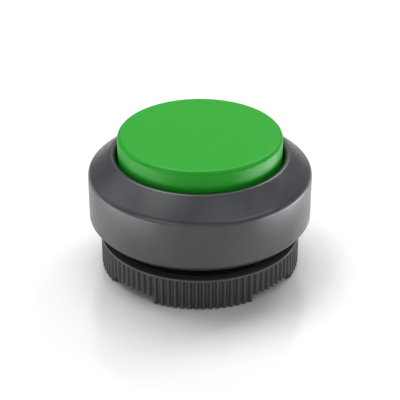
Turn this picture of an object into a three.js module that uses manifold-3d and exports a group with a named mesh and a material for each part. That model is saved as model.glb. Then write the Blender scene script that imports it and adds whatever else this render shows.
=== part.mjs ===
// Flush industrial push button, the actuator that goes in a 22.3 mm panel hole.
//
// Frame: millimetres, +Z from the rear coupling face (z = 0) to the green cap, on the button's axis.
// +Y is the side of the anti-twist lug. The button is shown with its ring nut run up the barrel.

import * as THREE from 'three';
import { mergeVertices } from 'three/addons/utils/BufferGeometryUtils.js';
import Module from 'manifold-3d';

const wasm = await Module();
wasm.setup();

// ---------------------------------------------------------------- driving dimensions

const FACETS = { large: 48, medium: 32, small: 24, peg: 12 }; // flats round a full turn
const TRAVEL = 2.4; // how far the cap is pushed
const CLEARANCE = 0.02; // left between the stops at the end of the travel
const OVERCUT = 1; // how far a cutting shape stands out of the face that it cuts
const EMBED = 0.5; // how far an added shape is sunk into the one that carries it

// front ring: a straight wall, a large round, then a cone that rises to a rounded lip round the cap
const RING = {
  radius: 14.9,
  bottom: 7.2,
  wallTop: 13.2,
  foot: 0.3,
  crest: 1.1,
  coneDegrees: 42,
  lipTop: 16.3,
  lipRound: 0.5,
  boreRadius: 11.2,
  socketRadius: 12.95,
  socketTop: 10.4,
  chamberRadius: 12.15,
  chamberTop: 13.2,
};

// barrel: a threaded tube with a flange that the front ring snaps over
const BARREL = {
  rootRadius: 10.05,
  boreRadius: 8.5,
  neckRadius: 10.9,
  neckBottom: 6.4,
  flangeRadius: 12.85,
  flangeTop: 9.3,
  collarRadius: 11.9,
  collarTop: 11.3,
  guideRadius: 9.6,
  stop: 7.7,
  webBottom: 5.6,
  webTop: 6.6,
  webHole: 4.35,
  chamfer: 0.4,
};
const THREAD = { pitch: 1.5, depth: 0.95, crestHalf: 0.1, rootHalf: 0.58, facets: 24 };
// the thread on the barrel, which runs out at both ends
const RIDGE = { start: 0.5, turns: 2.8, embed: 0.15, sunk: 1.1, runOut: 0.1 };
// the same thread cut in the nut
const GROOVE = { firstTurn: -3, turns: 8, reach: 0.2, tipClearance: 0.17, sideClearance: 0.08 };
const KEYWAY = { width: 3.2, floorRadius: 9.65, top: 6.1 };
const LUG = { width: 3.0, radius: 12.6, bottom: 5.65 };
const FINGER_SLOT = { width: 2.9, innerRadius: 6.95, outerRadius: 8.8, beyond: 0.3 };
const BAYONET = {
  radius: 9.3,
  inset: 0.6,
  entryDegrees: 28,
  sweepDegrees: 80,
  bottom: 1.4,
  top: 2.8,
  count: 2,
};

// green cap and the plunger under it
const CAP = { radius: 10.92, top: 19.0, underside: 17.5, skirtBottom: 15.0, boreRadius: 9.55, edge: 0.6 };
const CAP_PEG = { count: 3, radius: 0.9, circle: 5.6, bottom: 15.6, holeRadius: 1.15 };
const HEAD = {
  radius: 9.3,
  boreRadius: 8.0,
  top: 17.0,
  webBottom: 15.5,
  shoulder: BARREL.stop + TRAVEL + CLEARANCE,
};
const SKIRT = { radius: 8.3, boreRadius: 7.1, bottom: 9.4, coneFoot: 0.3, coneTop: 1.2 };
const FINGER = { count: 4, width: 2.4, bottom: 5.8, embed: 0.3 };
const STEM = { radius: 3.4, bottom: 5.0, pilotRadius: 1.0, pilotTop: 9.6 };
const PUSHER = { radius: 6.6, bottom: 3.9, boreRadius: 1.0, sinkRadius: 2.15, sinkDepth: 0.5 };
const PAD = { width: 3.2, height: 0.35, inset: 0.6, embed: 0.4 }; // bears on one contact block
const SCREW = { headRadius: 1.95, headBottom: 3.5, headRound: 0.3, shankRadius: 0.85, tip: 9.2 };
const SCREW_SLOT = { width: 0.5, length: 2.6, depth: 0.45 };

// ring nut: ribbed round the side, with four driving notches in its rear edge
const NUT = { radius: 13.43, boreRadius: 10.25, bottom: 0.1, top: 4.6, rimRound: 0.15 };
const RIB = {
  count: 90,
  depth: 0.4,
  top: 4.2,
  crownStart: 0.2,
  crownEnd: 0.8,
  floorStart: 0.92,
  floorEnd: 1.08,
};
const NUT_NOTCH = { count: 4, degrees: 32, depth: 0.95, turned: 1.9 };
const WASHER = {
  bottom: 3.95,
  radius: 12.35,
  boreRadius: 11.2,
  tongueWidth: 2.8,
  tongueRadius: 9.9,
  embed: 0.4,
};
const WASHER_SEAT = { floor: 3.9, radius: 12.5 };

// seals and the small rings inside
const GASKET = {
  bottom: 6.65,
  radius: 14.4,
  boreRadius: 11.3,
  edge: 0.15,
  notchWidth: 3.5,
  notchRadius: 12.9,
};
const RING_SEAL = { circle: 12.43, height: 9.86, radius: 0.48 };
const WIPER = { radius: 12.0, footBore: 10.5, footTop: 12.2, bladeRoot: 0.55 };
const WIPER_LIP = { radius: 9.36, bottom: 11.9, top: 12.25 };
const CLAMP = { radius: 12.0, boreRadius: 11.25 };
const CAP_SEAL = { radius: 8.8, boreRadius: 7.6 };
const BUSH = { radius: 4.3, boreRadius: 3.5, flangeRadius: 5.2, flangeTop: 7.2 };
const CUSHION = { radius: 6.6, boreRadius: 4.7 };
const SPRING_SEAT = { radius: 6.9, boreRadius: 5.35, top: 7.0 };
const SPRING = {
  radius: 6.0,
  wire: 0.8,
  turns: 5.5,
  gap: 0.03,
  closedPitch: 0.86,
  stepsPerTurn: 12,
  wireSides: 6,
};

// ---------------------------------------------------------------- materials

const plastic = (color, roughness) => new THREE.MeshStandardMaterial({ color, roughness, metalness: 0 });
const metal = (color, roughness) => new THREE.MeshStandardMaterial({ color, roughness, metalness: 1 });

const MATERIALS = {
  green: plastic(0x3ab440, 0.42),
  anthracite: plastic(0x4b4e52, 0.45),
  black: plastic(0x202124, 0.5),
  nut: plastic(0x2c2d30, 0.48),
  natural: plastic(0xe6e2d6, 0.4),
  rubber: plastic(0x141414, 0.8),
  steel: metal(0xb9bcc0, 0.35),
};

// ---------------------------------------------------------------- solids

// A closed three.js geometry as a manifold solid, with shared corners merged and empty triangles dropped.
function solid(geometry) {
  const bare = geometry.clone();
  bare.deleteAttribute('normal');
  bare.deleteAttribute('uv');
  const merged = mergeVertices(bare);
  const corners = merged.index.array;
  const kept = [];
  for (let i = 0; i < corners.length; i += 3) {
    const [a, b, c] = corners.slice(i, i + 3);
    if (a !== b && b !== c && c !== a) kept.push(a, b, c);
  }
  const vertProperties = merged.attributes.position.array;
  return new wasm.Manifold(new wasm.Mesh({ numProp: 3, vertProperties, triVerts: new Uint32Array(kept) }));
}

function geometryOf(manifold) {
  const { vertProperties, triVerts } = manifold.getMesh();
  const geometry = new THREE.BufferGeometry();
  geometry.setAttribute('position', new THREE.BufferAttribute(vertProperties, 3));
  geometry.setIndex(new THREE.BufferAttribute(triVerts, 1));
  geometry.computeVertexNormals();
  return geometry;
}

// A profile of [radius, height] points, listed with its inside on the left, turned about Z.
function turned(profile, facets) {
  const points = profile.map(([radius, height]) => new THREE.Vector2(radius, height));
  return solid(new THREE.LatheGeometry(points, facets).rotateX(Math.PI / 2));
}

// A turned ring whose profile closes on itself.
const turnedRing = (profile, facets) => turned([...profile, profile[0]], facets);

// A plain ring with a rectangular section.
function flatRing(boreRadius, radius, bottom, top, facets) {
  return turnedRing([[boreRadius, bottom], [radius, bottom], [radius, top], [boreRadius, top]], facets);
}

function disc(radius, bottom, top, facets) {
  const geometry = new THREE.CylinderGeometry(radius, radius, top - bottom, facets);
  return solid(geometry.rotateX(Math.PI / 2).translate(0, 0, (bottom + top) / 2));
}

// A block between two heights, from one radius to another along the direction `angle` in the XY plane.
function radialBlock(width, innerRadius, outerRadius, bottom, top, angle) {
  const geometry = new THREE.BoxGeometry(outerRadius - innerRadius, width, top - bottom);
  geometry.translate((innerRadius + outerRadius) / 2, 0, (bottom + top) / 2);
  return solid(geometry.rotateZ(angle));
}

// A piece of a ring between two angles, in radians.
function sector(innerRadius, outerRadius, start, end, bottom, top) {
  const shape = new THREE.Shape();
  shape.absarc(0, 0, outerRadius, start, end, false);
  shape.absarc(0, 0, innerRadius, end, start, true);
  const geometry = new THREE.ExtrudeGeometry(shape, { depth: top - bottom, bevelEnabled: false });
  return solid(geometry.translate(0, 0, bottom));
}

// Points on an arc in the profile plane, angles in degrees from the outward direction.
function arc(radius, height, round, from, to, steps) {
  return Array.from({ length: steps + 1 }, (_, i) => {
    const angle = THREE.MathUtils.degToRad(from + ((to - from) * i) / steps);
    return [radius + round * Math.cos(angle), height + round * Math.sin(angle)];
  });
}

function evenAngles(count, first = 0) {
  return Array.from({ length: count }, (_, i) => first + (i * 2 * Math.PI) / count);
}

// A right-hand helix about Z whose sections stay square to the radius all the way along.
class Helix extends THREE.Curve {
  constructor(turns, radiusAt, heightAt) {
    super();
    this.turns = turns;
    this.radiusAt = radiusAt;
    this.heightAt = heightAt;
  }

  getPoint(t, target = new THREE.Vector3()) {
    const angle = t * this.turns * 2 * Math.PI;
    const radius = this.radiusAt(t);
    return target.set(radius * Math.cos(angle), radius * Math.sin(angle), this.heightAt(t));
  }

  computeFrenetFrames(segments) {
    const tangents = [];
    const normals = [];
    const binormals = [];
    for (let i = 0; i <= segments; i += 1) {
      const angle = this.getUtoTmapping(i / segments) * this.turns * 2 * Math.PI;
      tangents.push(new THREE.Vector3(-Math.sin(angle), Math.cos(angle), 0));
      normals.push(new THREE.Vector3(-Math.cos(angle), -Math.sin(angle), 0));
      binormals.push(new THREE.Vector3(0, 0, 1));
    }
    return { tangents, normals, binormals };
  }
}

// A section of [outwards, upwards] points swept along a helix.
function swept(section, helix, steps) {
  const shape = new THREE.Shape(section.map(([outwards, upwards]) => new THREE.Vector2(-outwards, upwards)));
  return solid(new THREE.ExtrudeGeometry(shape, { steps, extrudePath: helix, bevelEnabled: false }));
}

// ---------------------------------------------------------------- thread, shared by barrel and nut

// The height of the thread's crest after a number of turns from the barrel's first thread.
const threadHeight = (turns) => RIDGE.start + THREAD.pitch * (turns + 0.5);

// The ridge on the barrel: its first and last parts sink into the tube.
function threadRidge() {
  const { turns, embed, sunk, runOut } = RIDGE;
  const { depth, crestHalf, rootHalf, facets } = THREAD;
  const sinkAt = (t) => sunk * Math.max(0, 1 - Math.min(t, 1 - t) / runOut);
  const radiusAt = (t) => BARREL.rootRadius - sinkAt(t);
  const helix = new Helix(turns, radiusAt, (t) => threadHeight(t * turns));
  const section = [
    [-embed, -rootHalf],
    [depth, -crestHalf],
    [depth, crestHalf],
    [-embed, rootHalf],
  ];
  return swept(section, helix, Math.round(turns * facets));
}

// The groove in the nut: the same helix, wider and deeper by the clearance, through both faces.
function threadGroove() {
  const { firstTurn, turns, reach, tipClearance, sideClearance } = GROOVE;
  const tip = THREAD.depth + tipClearance;
  const tipHalf = THREAD.crestHalf + sideClearance;
  const mouthHalf = THREAD.rootHalf + sideClearance;
  const helix = new Helix(turns, () => BARREL.rootRadius, (t) => threadHeight(firstTurn + t * turns));
  const section = [
    [-reach, -mouthHalf],
    [reach, -mouthHalf],
    [tip, -tipHalf],
    [tip, tipHalf],
    [reach, mouthHalf],
    [-reach, mouthHalf],
  ];
  return swept(section, helix, turns * THREAD.facets);
}

// ---------------------------------------------------------------- housing

function threadedBarrel() {
  const b = BARREL;
  let barrel = turnedRing(
    [
      [b.boreRadius, 0],
      [b.rootRadius - b.chamfer, 0],
      [b.rootRadius, b.chamfer],
      [b.rootRadius, b.neckBottom],
      [b.neckRadius, b.neckBottom],
      [b.neckRadius, RING.bottom],
      [b.flangeRadius, RING.bottom],
      [b.flangeRadius, b.flangeTop],
      [b.collarRadius, b.flangeTop],
      [b.collarRadius, b.collarTop],
      [b.guideRadius, b.collarTop],
      [b.guideRadius, b.stop],
      [b.boreRadius, b.stop],
      [b.boreRadius, b.webTop],
      [b.webHole, b.webTop],
      [b.webHole, b.webBottom],
      [b.boreRadius, b.webBottom],
    ],
    FACETS.large,
  );
  barrel = barrel.add(threadRidge()).add(antiTwistLug());
  for (const angle of evenAngles(2)) barrel = barrel.subtract(keyway(angle));
  for (const angle of evenAngles(FINGER.count, Math.PI / 4)) barrel = barrel.subtract(fingerSlot(angle));
  for (const angle of evenAngles(BAYONET.count, Math.PI / 2)) barrel = barrel.subtract(bayonetSlot(angle));
  return barrel;
}

// The lug under the flange that fits the panel hole's notch.
function antiTwistLug() {
  const root = BARREL.rootRadius - 2 * EMBED;
  return radialBlock(LUG.width, root, LUG.radius, LUG.bottom, RING.bottom + EMBED, Math.PI / 2);
}

// A groove along the thread for a tongue of the thrust washer.
function keyway(angle) {
  const { width, floorRadius, top } = KEYWAY;
  return radialBlock(width, floorRadius, LUG.radius, -OVERCUT, top, angle);
}

// A slot through the web for one of the plunger's guide fingers.
function fingerSlot(angle) {
  const { width, innerRadius, outerRadius, beyond } = FINGER_SLOT;
  const { webBottom, webTop } = BARREL;
  return radialBlock(width, innerRadius, outerRadius, webBottom - beyond, webTop + beyond, angle);
}

// An L-shaped recess in the rear bore, where a contact-block holder twists in.
function bayonetSlot(angle) {
  const entry = THREE.MathUtils.degToRad(BAYONET.entryDegrees);
  const sweep = THREE.MathUtils.degToRad(BAYONET.sweepDegrees);
  const start = angle - entry / 2;
  const inner = BARREL.boreRadius - BAYONET.inset;
  const way = sector(inner, BAYONET.radius, start, start + entry, -OVERCUT, BAYONET.top);
  return way.add(sector(inner, BAYONET.radius, start, start + sweep, BAYONET.bottom, BAYONET.top));
}

function frontRing() {
  const r = RING;
  return turnedRing(
    [
      [r.socketRadius, r.bottom],
      ...arc(r.radius - r.foot, r.bottom + r.foot, r.foot, -90, 0, 1),
      ...arc(r.radius - r.crest, r.wallTop, r.crest, 0, r.coneDegrees, 3),
      ...arc(r.boreRadius + r.lipRound, r.lipTop - r.lipRound, r.lipRound, r.coneDegrees, 180, 4),
      [r.boreRadius, r.chamberTop],
      [r.chamberRadius, r.chamberTop],
      [r.chamberRadius, r.socketTop],
      [r.socketRadius, r.socketTop],
    ],
    FACETS.large,
  );
}

function panelGasket() {
  const g = GASKET;
  const gasket = turnedRing(
    [
      [g.boreRadius, g.bottom],
      [g.radius - g.edge, g.bottom],
      [g.radius, g.bottom + g.edge],
      [g.radius, RING.bottom],
      [g.boreRadius, RING.bottom],
    ],
    FACETS.large,
  );
  const bottom = g.bottom - OVERCUT;
  const top = RING.bottom + OVERCUT;
  return gasket.subtract(radialBlock(g.notchWidth, 0, g.notchRadius, bottom, top, Math.PI / 2));
}

function ringSeal() {
  const section = arc(RING_SEAL.circle, RING_SEAL.height, RING_SEAL.radius, 0, 315, 7);
  return turnedRing(section, FACETS.medium);
}

// The lip seal: a flat foot and a blade that leans up to the plunger.
function wiperSeal() {
  const w = WIPER;
  return turnedRing(
    [
      [w.footBore, BARREL.collarTop],
      [w.radius, BARREL.collarTop],
      [w.radius, w.footTop],
      [w.footBore + w.bladeRoot, w.footTop],
      [w.footBore, BARREL.collarTop + w.bladeRoot],
      [WIPER_LIP.radius, WIPER_LIP.top],
      [WIPER_LIP.radius, WIPER_LIP.bottom],
    ],
    FACETS.medium,
  );
}

const sealClampRing = () =>
  flatRing(CLAMP.boreRadius, CLAMP.radius, WIPER.footTop, RING.chamberTop, FACETS.medium);

function guideBush() {
  const b = BUSH;
  return turnedRing(
    [
      [b.boreRadius, BARREL.webBottom],
      [b.radius, BARREL.webBottom],
      [b.radius, BARREL.webTop],
      [b.flangeRadius, BARREL.webTop],
      [b.flangeRadius, b.flangeTop],
      [b.boreRadius, b.flangeTop],
    ],
    FACETS.small,
  );
}

const stopCushion = () =>
  flatRing(CUSHION.boreRadius, CUSHION.radius, STEM.bottom, BARREL.webBottom, FACETS.medium);

const springSeat = () =>
  flatRing(SPRING_SEAT.boreRadius, SPRING_SEAT.radius, BARREL.webTop, SPRING_SEAT.top, FACETS.medium);

// The coil spring between its seat and the plunger's web, with a closed turn at each end.
function returnSpring() {
  const s = SPRING;
  const start = SPRING_SEAT.top + s.wire / 2 + s.gap;
  const end = HEAD.webBottom - s.wire / 2 - s.gap;
  const openPitch = (end - start - 2 * s.closedPitch) / (s.turns - 2);
  const heightAt = (t) => {
    const turn = t * s.turns;
    const open = THREE.MathUtils.clamp(turn - 1, 0, s.turns - 2);
    return start + (turn - open) * s.closedPitch + open * openPitch;
  };
  const helix = new Helix(s.turns, () => s.radius, heightAt);
  const section = arc(0, 0, s.wire / 2, 0, 360 - 360 / s.wireSides, s.wireSides - 1);
  return swept(section, helix, s.turns * s.stepsPerTurn);
}

// ---------------------------------------------------------------- button, which slides in the housing

function pushCap() {
  const c = CAP;
  let cap = turned(
    [
      [0, c.underside],
      [c.boreRadius, c.underside],
      [c.boreRadius, c.skirtBottom],
      [c.radius, c.skirtBottom],
      ...arc(c.radius - c.edge, c.top - c.edge, c.edge, 0, 90, 3),
      [0, c.top],
    ],
    FACETS.large,
  );
  for (const angle of evenAngles(CAP_PEG.count)) {
    cap = cap.add(peg(CAP_PEG.radius, CAP_PEG.bottom, c.underside + EMBED, angle));
  }
  return cap;
}

// A round peg on the circle of the cap's pegs.
function peg(radius, bottom, top, angle) {
  const x = CAP_PEG.circle * Math.cos(angle);
  const y = CAP_PEG.circle * Math.sin(angle);
  return disc(radius, bottom, top, FACETS.peg).translate(x, y, 0);
}

const capSeal = () => flatRing(CAP_SEAL.boreRadius, CAP_SEAL.radius, HEAD.top, CAP.underside, FACETS.medium);

function plunger() {
  const h = HEAD;
  let body = turned(
    [
      [0, STEM.pilotTop],
      [STEM.pilotRadius, STEM.pilotTop],
      [STEM.pilotRadius, STEM.bottom],
      [STEM.radius, STEM.bottom],
      [STEM.radius, h.webBottom],
      [h.boreRadius, h.webBottom],
      [h.boreRadius, h.shoulder + SKIRT.coneTop],
      [SKIRT.boreRadius, h.shoulder + SKIRT.coneFoot],
      [SKIRT.boreRadius, SKIRT.bottom],
      [SKIRT.radius, SKIRT.bottom],
      [SKIRT.radius, h.shoulder],
      [h.radius, h.shoulder],
      [h.radius, h.top],
      [0, h.top],
    ],
    FACETS.medium,
  );
  for (const angle of evenAngles(CAP_PEG.count)) {
    body = body.subtract(peg(CAP_PEG.holeRadius, h.webBottom - OVERCUT, h.top + OVERCUT, angle));
  }
  for (const angle of evenAngles(FINGER.count, Math.PI / 4)) body = body.add(guideFinger(angle));
  return body;
}

// A finger that hangs from the skirt: the part of a longer skirt inside a block.
function guideFinger(angle) {
  const { boreRadius, radius, bottom } = SKIRT;
  const skirt = flatRing(boreRadius, radius, FINGER.bottom, bottom + FINGER.embed, FACETS.medium);
  const inner = boreRadius - OVERCUT;
  const outer = radius + OVERCUT;
  const low = FINGER.bottom - OVERCUT;
  return skirt.intersect(radialBlock(FINGER.width, inner, outer, low, HEAD.shoulder, angle));
}

// The plate that bears on the contact blocks, with a pad at each contact position.
function pusherPlate() {
  const p = PUSHER;
  let plate = turnedRing(
    [
      [p.boreRadius, p.bottom + p.sinkDepth],
      [p.sinkRadius, p.bottom + p.sinkDepth],
      [p.sinkRadius, p.bottom],
      [p.radius, p.bottom],
      [p.radius, STEM.bottom],
      [p.boreRadius, STEM.bottom],
    ],
    FACETS.medium,
  );
  const inner = p.sinkRadius + PAD.inset;
  const outer = p.radius - PAD.inset;
  const low = p.bottom - PAD.height;
  for (const angle of evenAngles(2)) {
    plate = plate.add(radialBlock(PAD.width, inner, outer, low, p.bottom + PAD.embed, angle));
  }
  return plate;
}

function pusherScrew() {
  const s = SCREW;
  const screw = turned(
    [
      [0, s.headBottom],
      [s.headRadius - s.headRound, s.headBottom],
      [s.headRadius, s.headBottom + s.headRound],
      [s.headRadius, PUSHER.bottom + PUSHER.sinkDepth],
      [s.shankRadius, PUSHER.bottom + PUSHER.sinkDepth],
      [s.shankRadius, s.tip - s.shankRadius],
      [0, s.tip],
    ],
    FACETS.small,
  );
  const half = SCREW_SLOT.length / 2;
  const low = s.headBottom - OVERCUT;
  const high = s.headBottom + SCREW_SLOT.depth;
  const slot = (angle) => radialBlock(SCREW_SLOT.width, -half, half, low, high, angle);
  return screw.subtract(slot(0)).subtract(slot(Math.PI / 2));
}

// ---------------------------------------------------------------- nut and its captive washer

function thrustWasher() {
  const w = WASHER;
  const root = w.boreRadius + w.embed;
  let washer = flatRing(w.boreRadius, w.radius, w.bottom, NUT.top, FACETS.large);
  for (const angle of evenAngles(2)) {
    washer = washer.add(radialBlock(w.tongueWidth, w.tongueRadius, root, w.bottom, NUT.top, angle));
  }
  return washer;
}

// The outline of the ribbed band: a flat-topped rib and a narrow groove, once per rib.
function ribbedOutline() {
  const step = (2 * Math.PI) / RIB.count;
  const floor = NUT.radius - RIB.depth;
  const corners = [
    [RIB.crownStart, NUT.radius],
    [RIB.crownEnd, NUT.radius],
    [RIB.floorStart, floor],
    [RIB.floorEnd, floor],
  ];
  const points = evenAngles(RIB.count, -step / 2).flatMap((angle) =>
    corners.map(([along, radius]) => {
      const at = angle + along * step;
      return new THREE.Vector2(radius * Math.cos(at), radius * Math.sin(at));
    }),
  );
  return new THREE.Shape(points);
}

// The nut's blank: the ribbed band with a smooth rim over it.
function nutBlank() {
  const { radius, bottom, top, rimRound } = NUT;
  const rimBottom = RIB.top - RIB.depth / 4;
  const band = new THREE.ExtrudeGeometry(ribbedOutline(), { depth: RIB.top - bottom, bevelEnabled: false });
  const rim = turned(
    [
      [0, rimBottom],
      [radius, rimBottom],
      ...arc(radius - rimRound, top - rimRound, rimRound, 0, 90, 1),
      [0, top],
    ],
    RIB.count / 2,
  );
  return solid(band.translate(0, 0, bottom)).add(rim);
}

function ringNut() {
  const { boreRadius, bottom, top } = NUT;
  const { radius, floor } = WASHER_SEAT;
  let nut = nutBlank();
  nut = nut.subtract(disc(boreRadius, bottom - OVERCUT, top + OVERCUT, FACETS.medium));
  nut = nut.subtract(disc(radius, floor, top + OVERCUT, FACETS.large));
  nut = nut.subtract(threadGroove());
  const first = THREE.MathUtils.degToRad(45 + NUT_NOTCH.turned);
  for (const angle of evenAngles(NUT_NOTCH.count, first)) nut = nut.subtract(drivingNotch(angle));
  return nut;
}

// A notch in the nut's rear edge for the tightening tool.
function drivingNotch(angle) {
  const { boreRadius, radius, bottom } = NUT;
  const half = THREE.MathUtils.degToRad(NUT_NOTCH.degrees / 2);
  const inner = boreRadius - OVERCUT;
  const outer = radius + OVERCUT;
  return sector(inner, outer, angle - half, angle + half, bottom - OVERCUT, bottom + NUT_NOTCH.depth);
}

// ---------------------------------------------------------------- assembly

const PARTS = [
  ['threaded_barrel', threadedBarrel, MATERIALS.black],
  ['front_ring', frontRing, MATERIALS.anthracite],
  ['panel_gasket', panelGasket, MATERIALS.rubber],
  ['ring_seal', ringSeal, MATERIALS.rubber],
  ['wiper_seal', wiperSeal, MATERIALS.rubber],
  ['seal_clamp_ring', sealClampRing, MATERIALS.black],
  ['guide_bush', guideBush, MATERIALS.natural],
  ['stop_cushion', stopCushion, MATERIALS.rubber],
  ['spring_seat', springSeat, MATERIALS.steel],
  ['return_spring', returnSpring, MATERIALS.steel],
  ['push_cap', pushCap, MATERIALS.green],
  ['cap_seal', capSeal, MATERIALS.rubber],
  ['plunger', plunger, MATERIALS.black],
  ['pusher_plate', pusherPlate, MATERIALS.natural],
  ['pusher_screw', pusherScrew, MATERIALS.steel],
  ['thrust_washer', thrustWasher, MATERIALS.black],
  ['ring_nut', ringNut, MATERIALS.nut],
];

const group = new THREE.Group();
group.name = 'push_button';
for (const [name, make, material] of PARTS) {
  const mesh = new THREE.Mesh(geometryOf(make()), material);
  mesh.name = name;
  group.add(mesh);
}

export default group;
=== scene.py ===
"""Looks of the flush push button: a fine mesh and a procedural material for every node, on a pale table.

Meshes are drawn in millimetres about the button's axis and scaled to metres when they are placed.
"""

import math

import bmesh
import bpy
from mathutils import Matrix, Vector


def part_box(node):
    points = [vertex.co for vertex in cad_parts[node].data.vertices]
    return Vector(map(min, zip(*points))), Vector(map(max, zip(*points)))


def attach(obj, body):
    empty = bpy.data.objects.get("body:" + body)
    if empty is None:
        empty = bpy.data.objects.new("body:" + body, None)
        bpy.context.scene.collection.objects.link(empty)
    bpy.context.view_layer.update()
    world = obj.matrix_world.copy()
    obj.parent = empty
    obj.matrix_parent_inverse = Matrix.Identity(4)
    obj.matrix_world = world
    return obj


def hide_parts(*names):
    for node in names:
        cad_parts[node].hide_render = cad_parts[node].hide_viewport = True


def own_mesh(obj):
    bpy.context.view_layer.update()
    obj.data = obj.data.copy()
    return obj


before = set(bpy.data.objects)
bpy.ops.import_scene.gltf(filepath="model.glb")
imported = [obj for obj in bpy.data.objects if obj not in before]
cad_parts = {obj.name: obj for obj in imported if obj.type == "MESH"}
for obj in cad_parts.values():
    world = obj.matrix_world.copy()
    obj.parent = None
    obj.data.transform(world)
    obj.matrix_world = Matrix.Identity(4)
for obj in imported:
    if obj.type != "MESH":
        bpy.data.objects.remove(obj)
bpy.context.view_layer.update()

MM = 0.001
TURN = 2 * math.pi


def span(node):
    """The lowest and highest corners of a CAD node, in millimetres."""
    low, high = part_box(node)
    return low / MM, high / MM


# ---------------------------------------------------------------- sizes, from the frame

RING_LOW, RING_HIGH = span("front_ring")
CAP_LOW, CAP_HIGH = span("push_cap")
NUT_LOW, NUT_HIGH = span("ring_nut")
GASKET_LOW, GASKET_HIGH = span("panel_gasket")
BARREL_LOW, BARREL_HIGH = span("threaded_barrel")
WASHER_LOW, WASHER_HIGH = span("thrust_washer")
PLUNGER_LOW, PLUNGER_HIGH = span("plunger")
PUSHER_LOW, PUSHER_HIGH = span("pusher_plate")
SCREW_LOW, SCREW_HIGH = span("pusher_screw")
BUSH_LOW, BUSH_HIGH = span("guide_bush")
CUSHION_LOW, CUSHION_HIGH = span("stop_cushion")
SEAT_LOW, SEAT_HIGH = span("spring_seat")
SPRING_LOW, SPRING_HIGH = span("return_spring")
WIPER_LOW, WIPER_HIGH = span("wiper_seal")
CLAMP_LOW, CLAMP_HIGH = span("seal_clamp_ring")
RING_SEAL_LOW, RING_SEAL_HIGH = span("ring_seal")
CAP_SEAL_LOW, CAP_SEAL_HIGH = span("cap_seal")

SEGMENTS = 240  # round a full turn on the large pieces
FEW_SEGMENTS = 96  # round a full turn on the small inner pieces
SMALL_SEGMENTS = 64  # round a full turn on the screw
PEG_SEGMENTS = 32  # round a full turn on the cap's pegs and their holes
PLUG_SEGMENTS = 180  # round a full turn on the thread that cuts the nut
ARC_STEPS = 6  # flats on each rounded corner
CREST_STEPS = 16  # flats on the large rounds of the front ring

PITCH = 1.5
THREAD_ROOT = 10.05
THREAD_DEPTH = 0.95
THREAD_CREST = 1.25  # height of the crest on the +X side
THREAD_BOTTOM = 0.55
THREAD_TOP = 6.1

PEGS = 3
PEG_CIRCLE = 5.6
FINGERS = 4
OVERCUT = 1.0  # how far a cutter stands past the face that it cuts


# ---------------------------------------------------------------- mesh building


def rounded(*corners, steps=ARC_STEPS):
    """A closed outline of (radius, height) points from corners of (radius, height, round)."""
    points = []
    for i, (radius, height, size) in enumerate(corners):
        here = Vector((radius, height))
        if size <= 0:
            points.append(tuple(here))
            continue
        before = (Vector(corners[i - 1][:2]) - here).normalized()
        after = (Vector(corners[(i + 1) % len(corners)][:2]) - here).normalized()
        half = before.angle(after) / 2
        centre = here + (before + after).normalized() * (size / math.sin(half))
        start = here + before * (size / math.tan(half)) - centre
        end = here + after * (size / math.tan(half)) - centre
        sweep = start.angle_signed(end)
        for step in range(steps + 1):
            offset = start.copy()
            offset.rotate(Matrix.Rotation(-sweep * step / steps, 2))
            points.append(tuple(centre + offset))
    return points


def arc(radius, height, size, start, end, steps=ARC_STEPS):
    """Outline points on an arc about (radius, height), angles in degrees from the outward direction."""
    angles = [math.radians(start + (end - start) * i / steps) for i in range(steps + 1)]
    return [(radius + size * math.cos(a), height + size * math.sin(a)) for a in angles]


def levels(bottom, top, steps):
    """Evenly spaced heights, both ends included."""
    return [bottom + (top - bottom) * i / steps for i in range(steps + 1)]


def around(count, start=0.0):
    """Evenly spaced angles round a full turn."""
    return [start + TURN * i / count for i in range(count)]


def lathe(outline, segments=SEGMENTS, shape=None):
    """A bmesh of a closed outline turned about Z; shape(radius, height, angle) may change a radius."""
    bm = bmesh.new()
    rings = []
    for radius, height in outline:
        if radius == 0:
            rings.append([bm.verts.new((0, 0, height))])
            continue
        ring = []
        for i in range(segments):
            angle = TURN * i / segments
            reach = shape(radius, height, angle) if shape else radius
            ring.append(bm.verts.new((reach * math.cos(angle), reach * math.sin(angle), height)))
        rings.append(ring)
    for low, high in zip(rings, rings[1:] + rings[:1]):
        if len(low) == len(high) == 1:
            continue
        for i in range(segments):
            j = (i + 1) % segments
            corners = (low[i % len(low)], low[j % len(low)], high[j % len(high)], high[i % len(high)])
            bm.faces.new(list(dict.fromkeys(corners)))
    bmesh.ops.recalc_face_normals(bm, faces=bm.faces)
    return bm


def block(width, inner, outer, bottom, top, angle=0.0):
    """A bmesh box that runs from one radius to another in the direction `angle`."""
    bm = bmesh.new()
    bmesh.ops.create_cube(bm, size=1)
    middle = Vector(((inner + outer) / 2, 0, (bottom + top) / 2))
    place = Matrix.Rotation(angle, 4, "Z") @ Matrix.Translation(middle)
    bm.transform(place @ Matrix.Diagonal((outer - inner, width, top - bottom, 1)))
    return bm


def sector(inner, outer, start, end, bottom, top, steps=24):
    """A bmesh piece of a ring between two angles."""
    bm = bmesh.new()
    rows = []
    for i in range(steps + 1):
        angle = start + (end - start) * i / steps
        across = Vector((math.cos(angle), math.sin(angle), 0))
        corners = ((inner, bottom), (outer, bottom), (outer, top), (inner, top))
        rows.append([bm.verts.new(across * reach + Vector((0, 0, height))) for reach, height in corners])
    for one, two in zip(rows, rows[1:]):
        for i in range(4):
            j = (i + 1) % 4
            bm.faces.new((one[i], one[j], two[j], two[i]))
    bm.faces.new(rows[0])
    bm.faces.new(rows[-1])
    bmesh.ops.recalc_face_normals(bm, faces=bm.faces)
    return bm


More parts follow.
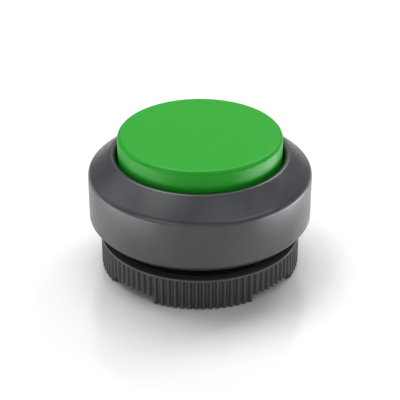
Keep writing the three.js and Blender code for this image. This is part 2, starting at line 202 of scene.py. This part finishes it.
def tube(path, radius, sides=12):
    """A bmesh tube along points that run round the Z axis, each section in a plane through that axis."""
    bm = bmesh.new()
    rings = []
    for point in path:
        outwards = Vector((point.x, point.y, 0)).normalized()
        ring = []
        for i in range(sides):
            angle = TURN * i / sides
            across = outwards * math.cos(angle) + Vector((0, 0, math.sin(angle)))
            ring.append(bm.verts.new(point + across * radius))
        rings.append(ring)
    for low, high in zip(rings, rings[1:]):
        for i in range(sides):
            j = (i + 1) % sides
            bm.faces.new((low[i], low[j], high[j], high[i]))
    bm.faces.new(rings[0])
    bm.faces.new(rings[-1])
    bmesh.ops.recalc_face_normals(bm, faces=bm.faces)
    return bm


def mesh_object(name, bm):
    """A new object, in millimetres still, from a bmesh."""
    mesh = bpy.data.meshes.new(name)
    bm.to_mesh(mesh)
    bm.free()
    obj = bpy.data.objects.new(name, mesh)
    bpy.context.scene.collection.objects.link(obj)
    return obj


def apply_modifiers(obj):
    """Keeps the mesh that the object's modifiers make, and removes them."""
    depsgraph = bpy.context.evaluated_depsgraph_get()
    mesh = bpy.data.meshes.new_from_object(obj.evaluated_get(depsgraph))
    obj.modifiers.clear()
    obj.data = mesh


def combine(obj, operation, *bmeshes):
    """Joins closed bmeshes to an object (UNION) or cuts them out of it (DIFFERENCE)."""
    for bm in bmeshes:
        tool = mesh_object("tool", bm)
        modifier = obj.modifiers.new("combine", "BOOLEAN")
        modifier.operation = operation
        modifier.solver = "MANIFOLD"
        modifier.object = tool
        apply_modifiers(obj)
        bpy.data.objects.remove(tool)


def soften(obj, width):
    """Rounds every sharp edge by a small width, in millimetres."""
    modifier = obj.modifiers.new("soften", "BEVEL")
    modifier.width = width
    modifier.segments = 2
    modifier.limit_method = "ANGLE"
    modifier.angle_limit = math.radians(60)
    modifier.use_clamp_overlap = True
    apply_modifiers(obj)


def place(obj, node, body, slot, material, sharp=35.0):
    """Scales a finished piece to metres, shades it, and sets it on its body in place of its CAD node."""
    obj.data.transform(Matrix.Scale(MM, 4))
    obj.data.shade_smooth()
    obj.data.set_sharp_from_angle(angle=math.radians(sharp))
    obj.data.materials.clear()
    obj.data.materials.append(material)
    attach(obj, body)
    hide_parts(node)


def turned_piece(node, body, slot, material, outline, segments=FEW_SEGMENTS):
    """A piece that is only a rounded outline turned about the axis."""
    obj = mesh_object("fine_" + node, lathe(outline, segments))
    place(obj, node, body, slot, material)


# ---------------------------------------------------------------- materials


class Nodes:
    """A short way to add shader nodes and links to a material."""

    def __init__(self, name):
        self.material = bpy.data.materials.new(name)
        self.material.use_nodes = True
        self.tree = self.material.node_tree
        self.shader = self.tree.nodes["Principled BSDF"]
        coordinates = self.add("ShaderNodeTexCoord")
        self.position = coordinates.outputs["Object"]

    def add(self, kind, inputs=None, **settings):
        """A new node, with its inputs and settings."""
        node = self.tree.nodes.new(kind)
        for key, value in settings.items():
            setattr(node, key, value)
        for key, value in (inputs or {}).items():
            self.set(node.inputs[key], value)
        return node

    def set(self, socket, value):
        """Links the value if it's another node's output, and writes it if it's a number or a colour."""
        if isinstance(value, bpy.types.NodeSocket):
            self.tree.links.new(value, socket)
        else:
            socket.default_value = value

    def noise(self, size_mm, detail=3.0):
        """Noise with features of about that size."""
        inputs = {"Vector": self.position, "Scale": 1 / (size_mm * MM), "Detail": detail}
        return self.add("ShaderNodeTexNoise", inputs).outputs["Fac"]

    def ramp(self, value, low, high, to_low, to_high):
        """The value, mapped from one range to another."""
        inputs = {"Value": value, "From Min": low, "From Max": high, "To Min": to_low, "To Max": to_high}
        return self.add("ShaderNodeMapRange", inputs).outputs["Result"]

    def mix(self, factor, one, two):
        """A mix of two colours."""
        node = self.add("ShaderNodeMix", data_type="RGBA")
        self.set(node.inputs[0], factor)
        self.set(node.inputs[6], one)
        self.set(node.inputs[7], two)
        return node.outputs[2]

    def bump(self, height, depth_mm):
        """A normal, tilted by a height that stands up to that depth."""
        inputs = {"Height": height, "Distance": depth_mm * MM, "Strength": 1.0}
        return self.add("ShaderNodeBump", inputs).outputs["Normal"]

    def spread(self, noise, low, high):
        """A noise's usual values, spread over a range."""
        usual_low, usual_high = 0.3, 0.7
        return self.ramp(noise, usual_low, usual_high, low, high)

    def edges(self):
        """1 on worn outer edges, 0 elsewhere."""
        flat, sharp = 0.51, 0.58
        pointiness = self.add("ShaderNodeNewGeometry").outputs["Pointiness"]
        return self.ramp(pointiness, flat, sharp, 0.0, 1.0)


def rgb(red, green, blue):
    """An opaque colour."""
    return (red, green, blue, 1.0)


def shade(color, factor, lift=0.0):
    """The colour made paler or darker."""
    return rgb(*(min(1.0, c * factor + lift) for c in color))


def moulded(name, color, roughness, grain_depth=0.004, mottle=0.12, specular=0.5, worn_edges=True):
    """Moulded plastic: faint colour mottle, fine spark-eroded grain and, on sharp ribs, paler edges."""
    cloud_size, smear_size, grain_size = 2.4, 0.9, 0.12
    polish, worn_paler, worn_lift = 0.05, 1.25, 0.01
    n = Nodes(name)
    clouds = n.noise(cloud_size, detail=4)
    base = n.mix(clouds, shade(color, 1 - mottle), shade(color, 1 + mottle))
    if worn_edges:
        base = n.mix(n.edges(), base, shade(color, worn_paler, worn_lift))
    n.set(n.shader.inputs["Base Color"], base)
    smears = n.noise(smear_size, detail=5)
    n.set(n.shader.inputs["Roughness"], n.spread(smears, roughness - polish, roughness + polish))
    n.set(n.shader.inputs["Normal"], n.bump(n.noise(grain_size, detail=2), grain_depth))
    n.shader.inputs["Specular IOR Level"].default_value = specular
    return n.material


def moulded_rubber(name, color):
    """Matt rubber with a soft bloom and a fine skin."""
    bloom_size, smear_size, skin_size = 1.1, 0.5, 0.08
    skin_depth = 0.006
    bloom_start, bloom_full, bloom_paler = 0.45, 0.75, 1.9
    n = Nodes(name)
    bloom = n.ramp(n.noise(bloom_size, detail=6), bloom_start, bloom_full, 0.0, 1.0)
    n.set(n.shader.inputs["Base Color"], n.mix(bloom, rgb(*color), shade(color, bloom_paler)))
    n.set(n.shader.inputs["Roughness"], n.spread(n.noise(smear_size), 0.62, 0.78))
    n.set(n.shader.inputs["Normal"], n.bump(n.noise(skin_size, detail=3), skin_depth))
    n.shader.inputs["Specular IOR Level"].default_value = 0.4
    return n.material


def zinc_steel(name):
    """Bright zinc-plated steel, finely drawn round the axis."""
    squeeze, line_scale, line_depth, patch_size = 9.0, 3500.0, 0.002, 1.6
    duller, brighter = rgb(0.5, 0.51, 0.54), rgb(0.72, 0.72, 0.7)
    n = Nodes(name)
    n.shader.inputs["Metallic"].default_value = 1.0
    mapping = n.add("ShaderNodeMapping", {"Vector": n.position, "Scale": (1.0, 1.0, squeeze)})
    settings = {"Vector": mapping.outputs["Vector"], "Scale": line_scale, "Detail": 3.0}
    lines = n.add("ShaderNodeTexNoise", settings).outputs["Fac"]
    n.set(n.shader.inputs["Base Color"], n.mix(n.noise(patch_size, detail=5), duller, brighter))
    n.set(n.shader.inputs["Roughness"], n.spread(lines, 0.22, 0.4))
    n.set(n.shader.inputs["Normal"], n.bump(lines, line_depth))
    return n.material


GREEN = moulded(
    "cap_green",
    color=(0.009, 0.306, 0.012),
    roughness=0.40,
    grain_depth=0.0015,
    mottle=0.03,
    specular=0.25,
    worn_edges=False,
)
ANTHRACITE = moulded(
    "ring_anthracite",
    color=(0.034, 0.037, 0.043),
    roughness=0.33,
    grain_depth=0.002,
    mottle=0.06,
    specular=0.65,
    worn_edges=False,
)
NUT_BLACK = moulded(
    "nut_black",
    color=(0.040, 0.045, 0.050),
    roughness=0.4,
    grain_depth=0.005,
    specular=0.6,
)
BARREL_BLACK = moulded("barrel_black", (0.014, 0.0145, 0.0155), 0.5, grain_depth=0.006)
ACETAL_BLACK = moulded("acetal_black", (0.018, 0.018, 0.019), 0.3, grain_depth=0.001)
ACETAL_WHITE = moulded(
    "acetal_natural",
    color=(0.76, 0.74, 0.67),
    roughness=0.34,
    grain_depth=0.001,
    mottle=0.04,
    worn_edges=False,
)
RUBBER = moulded_rubber("seal_rubber", (0.010, 0.010, 0.011))
STEEL = zinc_steel("zinc_steel")


# ---------------------------------------------------------------- front ring


def front_ring():
    """A straight wall, a large round, a cone and a lip round the cap, with a stepped socket behind."""
    outer, bottom, top = RING_HIGH.x, RING_LOW.z, RING_HIGH.z
    wall_top, crest, foot, lip, bore = 13.2, 1.1, 0.3, 0.5, 11.2
    cone_normal = 49.3
    socket, socket_top, chamber, chamber_top = 12.95, 10.4, 12.15, 13.2
    edge, edge_steps = 0.1, 2
    outline = arc(socket + edge, bottom + edge, edge, 180, 270, edge_steps)
    outline += arc(outer - foot, bottom + foot, foot, 270, 360)
    outline += arc(outer - crest, wall_top, crest, 0, cone_normal, CREST_STEPS)
    outline += arc(bore + lip, top - lip, lip, cone_normal, 180, CREST_STEPS)
    outline += [(bore, chamber_top), (chamber, chamber_top), (chamber, socket_top), (socket, socket_top)]
    turned_piece("front_ring", "housing", "front_ring", ANTHRACITE, outline, SEGMENTS)


# ---------------------------------------------------------------- button


def push_cap():
    """A flat plate with a soft round on its rim, a short skirt, and three pegs below."""
    radius, top, foot = CAP_HIGH.x, CAP_HIGH.z, CAP_LOW.z
    plate, wall = 1.5, 1.33
    peg_radius, peg_bottom, sunk = 0.9, 15.6, 0.4
    underside, bore = top - plate, radius - wall
    outline = rounded(
        (0, underside, 0),
        (bore, underside, 0.15),
        (bore, foot, 0.12),
        (radius, foot, 0.15),
        (radius, top, 0.62),
        (0, top, 0),
        steps=10,
    )
    obj = mesh_object("fine_push_cap", lathe(outline))
    combine(obj, "UNION", *(peg(peg_radius, peg_bottom, underside + sunk, angle) for angle in around(PEGS)))
    place(obj, "push_cap", "button", "cap", GREEN)


def peg(radius, bottom, top, angle):
    """A round peg on the circle of the cap's pegs."""
    bm = lathe(rounded((0, bottom, 0), (radius, bottom, 0.15), (radius, top, 0), (0, top, 0)), PEG_SEGMENTS)
    bm.transform(Matrix.Translation((PEG_CIRCLE * math.cos(angle), PEG_CIRCLE * math.sin(angle), 0)))
    return bm


def plunger():
    """Sealing wall, stop shoulder, skirt and stem, with four guide fingers and holes for the pegs."""
    head, head_bore, top, web, shoulder = 9.3, 8.0, PLUNGER_HIGH.z, 15.5, 10.12
    skirt, skirt_bore, skirt_bottom, cone_foot, cone_top = 8.3, 7.1, 9.4, 0.3, 1.2
    stem, stem_bottom, pilot, pilot_top = 3.4, PLUNGER_LOW.z, 1.0, 9.6
    hole, finger_width, finger_bottom, sunk = 1.15, 2.4, 5.8, 0.3
    outline = rounded(
        (0, pilot_top, 0),
        (pilot, pilot_top, 0.1),
        (pilot, stem_bottom, 0.1),
        (stem, stem_bottom, 0.2),
        (stem, web, 0.4),
        (head_bore, web, 0.4),
        (head_bore, shoulder + cone_top, 0.1),
        (skirt_bore, shoulder + cone_foot, 0.1),
        (skirt_bore, skirt_bottom, 0.1),
        (skirt, skirt_bottom, 0.15),
        (skirt, shoulder, 0.1),
        (head, shoulder, 0.15),
        (head, top, 0.3),
        (0, top, 0),
    )
    obj = mesh_object("fine_plunger", lathe(outline, FEW_SEGMENTS))
    combine(obj, "DIFFERENCE", *(peg(hole, web - OVERCUT, top + OVERCUT, angle) for angle in around(PEGS)))
    half = math.asin(finger_width / 2 / skirt)
    for angle in around(FINGERS, TURN / FINGERS / 2):
        finger = sector(skirt_bore, skirt, angle - half, angle + half, finger_bottom, skirt_bottom + sunk)
        combine(obj, "UNION", finger)
    soften(obj, 0.06)
    place(obj, "plunger", "button", "plunger", ACETAL_BLACK)


def pusher_plate():
    """A plate with a sunk hole for its screw and a pad at each contact position."""
    radius, bottom, top = PUSHER_HIGH.x, 3.9, PUSHER_HIGH.z
    sink, sink_depth, hole = 2.15, 0.5, 1.0
    pad_width, pad_margin, sunk = 3.2, 0.6, 0.4
    outline = rounded(
        (hole, bottom + sink_depth, 0.05),
        (sink, bottom + sink_depth, 0.08),
        (sink, bottom, 0.12),
        (radius, bottom, 0.2),
        (radius, top, 0.2),
        (hole, top, 0.08),
    )
    obj = mesh_object("fine_pusher_plate", lathe(outline, FEW_SEGMENTS))
    for angle in around(2):
        pad = block(pad_width, sink + pad_margin, radius - pad_margin, PUSHER_LOW.z, bottom + sunk, angle)
        combine(obj, "UNION", pad)
    soften(obj, 0.08)
    place(obj, "pusher_plate", "button", "bush", ACETAL_WHITE)


def pusher_screw():
    """A pan-head screw with a cross slot and a pointed tip."""
    head, shank, head_bottom, head_top, tip = 1.95, 0.85, SCREW_LOW.z, 4.4, SCREW_HIGH.z
    taper = 0.1
    slot_width, slot_reach, slot_depth = 0.5, 1.3, 0.45
    outline = rounded(
        (0, head_bottom, 0),
        (head - taper, head_bottom, 0.35),
        (head, head_top, 0.1),
        (shank, head_top, 0.08),
        (shank, tip - shank, 0.1),
        (0, tip, 0),
    )
    obj = mesh_object("fine_pusher_screw", lathe(outline, SMALL_SEGMENTS))
    for angle in (0, TURN / 4):
        low, high = head_bottom - OVERCUT, head_bottom + slot_depth
        combine(obj, "DIFFERENCE", block(slot_width, -slot_reach, slot_reach, low, high, angle))
    soften(obj, 0.04)
    place(obj, "pusher_screw", "button", "steel", STEEL)


# ---------------------------------------------------------------- thread


def thread_reach(height, angle, extra=0.0):
    """How far the thread stands out of its root at a height and angle; extra widens it all round."""
    along = (height - THREAD_CREST) / PITCH - angle / TURN
    away = abs(along - round(along)) * PITCH
    crest_half, root_half = 0.1, 0.5
    share = (root_half + extra - away) / (root_half - crest_half)
    return THREAD_DEPTH * min(1.0, max(0.0, share))


def thread_sleeve():
    """The barrel's thread as a closed sleeve that fades out at both ends."""
    inner, sunk, fade, steps = 9.7, 0.04, 0.5, 84

    def shape(radius, height, angle):
        if radius == inner:
            return radius
        near_end = min(height - THREAD_BOTTOM, THREAD_TOP - height) / fade
        return radius + thread_reach(height, angle) * min(1.0, near_end)

    side = [(THREAD_ROOT - sunk, height) for height in levels(THREAD_BOTTOM, THREAD_TOP, steps)]
    return lathe([(inner, THREAD_BOTTOM)] + side + [(inner, THREAD_TOP)], SEGMENTS, shape)


def thread_plug():
    """The same thread, wider by the running clearance, as a closed plug that cuts the nut."""
    past, steps = 0.6, 80
    wider, clearance, least = 0.12, 0.17, 0.2
    bottom, top = NUT_LOW.z - past, NUT_HIGH.z + past

    def shape(radius, height, angle):
        return radius + max(least, thread_reach(height, angle, wider) + clearance)

    side = [(THREAD_ROOT, height) for height in levels(bottom, top, steps)]
    return lathe([(0, bottom)] + side + [(0, top)], PLUG_SEGMENTS, shape)


# ---------------------------------------------------------------- barrel


def anti_twist_lug(bore):
    """The lug at 12 o'clock that enters the notch of the panel's hole."""
    width, reach, bottom, sunk_side, sunk_top = 3.0, 12.6, 5.65, 0.7, 0.5
    return block(width, bore + sunk_side, reach, bottom, RING_LOW.z + sunk_top, TURN / 4)


def keyways(foot):
    """Cutters for the two slots along the thread, which the nut's washer slides in."""
    width, floor_radius, reach, top = 3.2, 9.65, 12.6, 6.1
    return [block(width, floor_radius, reach, foot - OVERCUT, top, angle) for angle in around(2)]


def finger_slots(web_bottom, web_top):
    """Cutters for the web's slots, one for each of the plunger's fingers."""
    width, inner, outer, past = 2.9, 6.95, 8.8, 0.3
    angles = around(FINGERS, TURN / FINGERS / 2)
    return [block(width, inner, outer, web_bottom - past, web_top + past, angle) for angle in angles]


def bayonet_recesses(bore, foot):
    """Cutters for the two rear recesses: a way in, then a turn under the ledge."""
    inner, outer = bore - 0.6, 9.3
    entry, turned = math.radians(28), math.radians(80)
    ledge, depth, step = 1.4, 2.8, 0.01
    cutters = []
    for angle in around(2, TURN / 4):
        start = angle - entry / 2
        cutters.append(sector(inner, outer, start, start + entry, foot - OVERCUT, depth))
        cutters.append(sector(inner, outer, start, start + turned, ledge, depth - step))
    return cutters


def threaded_barrel():
    """The housing: thread, neck and flange outside, guide, stop and web inside, and its slots and lug."""
    foot = BARREL_LOW.z
    bore, web_bore, web_bottom, web_top, stop, guide = 8.5, 4.35, 5.6, 6.6, 7.7, 9.6
    flange, flange_top, collar, collar_top = BARREL_HIGH.x, 9.3, 11.9, BARREL_HIGH.z
    neck, neck_bottom = 10.9, 6.4
    outline = rounded(
        (bore, foot, 0.25),
        (THREAD_ROOT, foot, 0.4),
        (THREAD_ROOT, neck_bottom, 0.1),
        (neck, neck_bottom, 0.25),
        (neck, RING_LOW.z, 0.1),
        (flange, RING_LOW.z, 0.2),
        (flange, flange_top, 0.2),
        (collar, flange_top, 0.2),
        (collar, collar_top, 0.1),
        (guide, collar_top, 0.2),
        (guide, stop, 0.1),
        (bore, stop, 0.15),
        (bore, web_top, 0.2),
        (web_bore, web_top, 0.1),
        (web_bore, web_bottom, 0.1),
        (bore, web_bottom, 0.25),
    )
    obj = mesh_object("fine_threaded_barrel", lathe(outline))
    combine(obj, "UNION", thread_sleeve(), anti_twist_lug(bore))
    cutters = keyways(foot) + finger_slots(web_bottom, web_top) + bayonet_recesses(bore, foot)
    combine(obj, "DIFFERENCE", *cutters)
    place(obj, "threaded_barrel", "housing", "barrel", BARREL_BLACK, sharp=30)


# ---------------------------------------------------------------- nut


NOTCHES = 4
RIBS = 90
RIB_DEPTH = 0.4
RIB_TOP = NUT_HIGH.z - 0.32
RIB_CLOSING = 0.28  # height over which a groove closes under the rim
RIB_STEPS = 12  # flats from one groove to the next
FOOT_CHAMFER = 0.1


def rib_radius(radius, height, angle):
    """The nut's side: rounded ribs, grooves that close under the rim, and a chamfer at the foot."""
    if radius < NUT_HIGH.x or height > RIB_TOP:
        return radius
    along = angle / TURN * RIBS + 0.5
    away = abs(along - round(along)) * 2  # 0 in the middle of a groove, 1 on a rib's crown
    floor_half, crown_half = 0.22, 0.16
    rise = min(1.0, max(0.0, (away - floor_half) / (1 - floor_half - crown_half)))
    groove = RIB_DEPTH * (1 - rise * rise * (3 - 2 * rise))
    closing = min(1.0, max(0.0, (RIB_TOP - height) / RIB_CLOSING))
    foot = max(0.0, FOOT_CHAMFER - (height - NUT_LOW.z))
    return radius - max(groove * math.sqrt(closing * (2 - closing)), foot)


def ring_nut():
    """A threaded ring with a ribbed side, a recess for its washer and four driving notches below."""
    radius, bottom, top = NUT_HIGH.x, NUT_LOW.z, NUT_HIGH.z
    recess, recess_floor, inner = 12.5, top - 0.7, 10.0
    rim, edge = 0.14, 0.08
    notch_inner, notch_half, notch_depth = 9, math.radians(16), 0.95
    notch_turned = math.radians(46.9)
    middle_levels, rim_levels, crowding = (2.0, 3.0, 3.6), 8, 1.6
    side = [bottom, bottom + FOOT_CHAMFER, bottom + notch_depth, *middle_levels]
    side += [RIB_TOP - RIB_CLOSING * (1 - share) ** crowding for share in levels(0, 1, rim_levels)]
    outline = [(inner, bottom)]
    outline += [(radius, height) for height in side]
    outline += arc(radius - rim, top - rim, rim, 0, 90, 4)
    outline += [(recess + edge, top), (recess, top - edge), (recess, recess_floor), (inner, recess_floor)]
    obj = mesh_object("fine_ring_nut", lathe(outline, RIBS * RIB_STEPS, rib_radius))
    combine(obj, "DIFFERENCE", thread_plug())
    low, high = bottom - OVERCUT, bottom + notch_depth
    for angle in around(NOTCHES, notch_turned):
        notch = sector(notch_inner, radius + OVERCUT, angle - notch_half, angle + notch_half, low, high)
        combine(obj, "DIFFERENCE", notch)
    place(obj, "ring_nut", "nut", "nut", NUT_BLACK, sharp=40)


def thrust_washer():
    """A flat washer in the nut's recess, with two tongues that slide in the barrel's keyways."""
    radius, bottom, top = WASHER_HIGH.x, WASHER_LOW.z, WASHER_HIGH.z
    bore, tongue_end, tongue_width, sunk = 11.2, 9.9, 2.8, 0.4
    inner, outer = 0.06, 0.12
    outline = rounded(
        (bore, bottom, inner),
        (radius, bottom, outer),
        (radius, top, outer),
        (bore, top, inner),
    )
    obj = mesh_object("fine_thrust_washer", lathe(outline))
    for angle in around(2):
        combine(obj, "UNION", block(tongue_width, tongue_end, bore + sunk, bottom, top, angle))
    place(obj, "thrust_washer", "nut_washer", "barrel", BARREL_BLACK)


# ---------------------------------------------------------------- seals and small rings


def panel_gasket():
    """A flat rubber ring under the front ring, notched for the anti-twist lug."""
    bore, radius, bottom, top = 11.3, GASKET_HIGH.x, GASKET_LOW.z, RING_LOW.z
    notch_width, notch_reach = 3.5, 12.9
    outline = rounded((bore, bottom, 0.1), (radius, bottom, 0.2), (radius, top, 0.05), (bore, top, 0.05))
    obj = mesh_object("fine_panel_gasket", lathe(outline))
    notch = block(notch_width, 0, notch_reach, bottom - OVERCUT, top + OVERCUT, TURN / 4)
    combine(obj, "DIFFERENCE", notch)
    place(obj, "panel_gasket", "housing", "seals", RUBBER)


def ring_seal():
    """An O-ring."""
    size = (RING_SEAL_HIGH.z - RING_SEAL_LOW.z) / 2
    sides = 16
    height = (RING_SEAL_HIGH.z + RING_SEAL_LOW.z) / 2
    outline = arc(RING_SEAL_HIGH.x - size, height, size, 0, 360 - 360 / sides, sides - 1)
    turned_piece("ring_seal", "housing", "seals", RUBBER, outline)


def wiper_seal():
    """A clamped foot, and a lip that leans in to the plunger."""
    foot, foot_bore, foot_top, lip, lip_height = WIPER_HIGH.x, 10.5, 12.2, 9.36, 0.35
    bottom, top, thickness = WIPER_LOW.z, WIPER_HIGH.z, 0.55
    outline = rounded(
        (foot_bore, bottom, 0.1),
        (foot, bottom, 0.1),
        (foot, foot_top, 0.1),
        (foot_bore + thickness, foot_top, 0.15),
        (foot_bore, bottom + thickness, 0.2),
        (lip, top, 0.05),
        (lip, top - lip_height, 0.05),
    )
    turned_piece("wiper_seal", "housing", "seals", RUBBER, outline)


def guide_bush():
    """A flanged bush for the plunger's stem."""
    bore, body, flange, flange_foot = 3.5, 4.3, BUSH_HIGH.x, 6.6
    bottom, top = BUSH_LOW.z, BUSH_HIGH.z
    outline = rounded(
        (bore, bottom, 0.2),
        (body, bottom, 0.15),
        (body, flange_foot, 0.05),
        (flange, flange_foot, 0.1),
        (flange, top, 0.12),
        (bore, top, 0.2),
    )
    turned_piece("guide_bush", "housing", "bush", ACETAL_WHITE, outline)


def plain_ring(node, body, slot, material, bore, low, high):
    """A flat ring with small rounds on its edges."""
    radius, bottom, top = high.x, low.z, high.z
    size = 0.2 * (top - bottom)
    outline = rounded((bore, bottom, size), (radius, bottom, size), (radius, top, size), (bore, top, size))
    turned_piece(node, body, slot, material, outline)


def return_spring():
    """The coil spring, one closed turn at each end, drawn at the length of its CAD node."""
    radius, wire, turns, closed_pitch, steps = 6.0, 0.4, 5.5, 0.86, 264
    start, end = SPRING_LOW.z + wire, SPRING_HIGH.z - wire
    open_turns = turns - 2
    open_pitch = (end - start - 2 * closed_pitch) / open_turns
    path = []
    for turn in levels(0, turns, steps):
        opened = min(max(turn - 1, 0), open_turns)
        height = start + (turn - opened) * closed_pitch + opened * open_pitch
        path.append(Vector((radius * math.cos(TURN * turn), radius * math.sin(TURN * turn), height)))
    obj = mesh_object("fine_return_spring", tube(path, wire))
    place(obj, "return_spring", "housing", "steel", STEEL)
    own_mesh(obj)


# ---------------------------------------------------------------- studio


FLOOR_HALF = 1.5
LAMP_AIM = Vector((0, 0, 0.01))
CAMERA_AIM = Vector((0, 0, 0.00887))
GLOW_HEIGHT = 0.0002


def floor_material():
    """A white, faintly mirroring table top."""
    smear_size = 30
    n = Nodes("floor_white")
    n.shader.inputs["Base Color"].default_value = rgb(0.95, 0.95, 0.95)
    n.set(n.shader.inputs["Roughness"], n.spread(n.noise(smear_size), 0.15, 0.19))
    n.shader.inputs["IOR"].default_value = 1.9
    n.shader.inputs["Specular IOR Level"].default_value = 0.9
    return n.material


def floor():
    """The table top, far wider than the picture."""
    bm = bmesh.new()
    bmesh.ops.create_grid(bm, x_segments=8, y_segments=8, size=FLOOR_HALF)
    obj = mesh_object("floor", bm)
    obj.data.materials.append(floor_material())


def direction(azimuth, elevation):
    """A unit vector, from degrees of azimuth from the front (-Y) towards +X, and of elevation."""
    a, e = math.radians(azimuth), math.radians(elevation)
    return Vector((math.sin(a) * math.cos(e), -math.cos(a) * math.cos(e), math.sin(e)))


def aimed(name, data, aim, towards, distance):
    """A camera or lamp that stands off from a point and faces it."""
    obj = bpy.data.objects.new(name, data)
    obj.location = aim + towards * distance
    obj.rotation_euler = towards.to_track_quat("Z", "Y").to_euler()
    bpy.context.scene.collection.objects.link(obj)
    return obj


def panel_light(name, width, height, radiance):
    """A rectangular light; radiance is its surface brightness."""
    light = bpy.data.lights.new(name, "AREA")
    light.shape = "RECTANGLE"
    light.size = width
    light.size_y = height
    light.energy = radiance * math.pi * width * height
    return light


def softbox(name, azimuth, elevation, distance, width, height, radiance):
    """A rectangular lamp that faces the button."""
    light = panel_light(name, width, height, radiance)
    aimed(name, light, LAMP_AIM, direction(azimuth, elevation), distance)


def table_glow(name, azimuth, distance, width, depth, radiance):
    """A lit panel on the table beside the button, which shines upwards and which the camera doesn't see."""
    obj = bpy.data.objects.new(name, panel_light(name, width, depth, radiance))
    obj.location = direction(azimuth, 0) * distance + Vector((0, 0, GLOW_HEIGHT))
    obj.rotation_euler = (math.pi, 0, math.radians(azimuth))
    obj.visible_camera = False
    bpy.context.scene.collection.objects.link(obj)


def sky(horizon):
    """A white dome that fades from the horizon up to black overhead."""
    world = bpy.data.worlds.new("studio")
    bpy.context.scene.world = world
    world.use_nodes = True
    nodes, links = world.node_tree.nodes, world.node_tree.links
    background = nodes["Background"]
    coordinates = nodes.new("ShaderNodeTexCoord")
    split = nodes.new("ShaderNodeSeparateXYZ")
    ramp = nodes.new("ShaderNodeMapRange")
    ramp.inputs["To Min"].default_value = horizon
    ramp.inputs["To Max"].default_value = 0.0
    links.new(coordinates.outputs["Generated"], split.inputs[0])
    links.new(split.outputs["Z"], ramp.inputs["Value"])
    links.new(ramp.outputs["Result"], background.inputs["Strength"])
    background.inputs["Color"].default_value = rgb(1.0, 1.0, 1.0)


def camera(elevation, distance, focal_length):
    """A long lens that looks down on the front of the button."""
    lens = bpy.data.cameras.new("camera")
    lens.lens = focal_length
    lens.sensor_width = 36.0
    lens.clip_start = 0.005
    bpy.context.scene.camera = aimed("camera", lens, CAMERA_AIM, direction(0, elevation), distance)


def lamps():
    """Overhead and low boxes round the button, and a glow from the table on each side."""
    softbox("key_overhead", -148, 69, distance=0.40, width=0.30, height=0.24, radiance=5.0)
    softbox("left_overhead", -90, 66, distance=0.40, width=0.24, height=0.20, radiance=1.7)
    softbox("right_overhead", 150, 60, distance=0.40, width=0.20, height=0.14, radiance=2.0)
    softbox("backdrop", 180, 27, distance=0.50, width=0.44, height=0.22, radiance=0.55)
    softbox("front_strip", -4, 12, distance=0.40, width=0.40, height=0.08, radiance=1.3)
    softbox("front_overhead", 30, 60, distance=0.40, width=0.20, height=0.14, radiance=1.2)
    softbox("front_left_box", -42, 21, distance=0.40, width=0.26, height=0.13, radiance=2.0)
    softbox("left_side_box", -105, 30, distance=0.40, width=0.20, height=0.24, radiance=1.0)
    softbox("front_right_box", 60, 40, distance=0.40, width=0.34, height=0.14, radiance=1.8)
    softbox("back_right_box", 140, 42, distance=0.40, width=0.16, height=0.14, radiance=6.6)
    table_glow("right_glow", 82, distance=0.053, width=0.050, depth=0.036, radiance=6.0)
    table_glow("left_glow", -66, distance=0.051, width=0.045, depth=0.034, radiance=3.1)


camera(elevation=29.53, distance=0.1854, focal_length=123.7)
floor()
sky(horizon=0.25)
lamps()
bpy.context.scene.view_settings.view_transform = "Standard"

front_ring()
push_cap()
plunger()
pusher_plate()
pusher_screw()
threaded_barrel()
ring_nut()
thrust_washer()
panel_gasket()
ring_seal()
wiper_seal()
plain_ring("seal_clamp_ring", "housing", "barrel", BARREL_BLACK, 11.25, CLAMP_LOW, CLAMP_HIGH)
plain_ring("stop_cushion", "housing", "seals", RUBBER, 4.7, CUSHION_LOW, CUSHION_HIGH)
plain_ring("spring_seat", "housing", "steel", STEEL, 5.35, SEAT_LOW, SEAT_HIGH)
plain_ring("cap_seal", "button", "seals", RUBBER, 7.6, CAP_SEAL_LOW, CAP_SEAL_HIGH)
guide_bush()
return_spring()
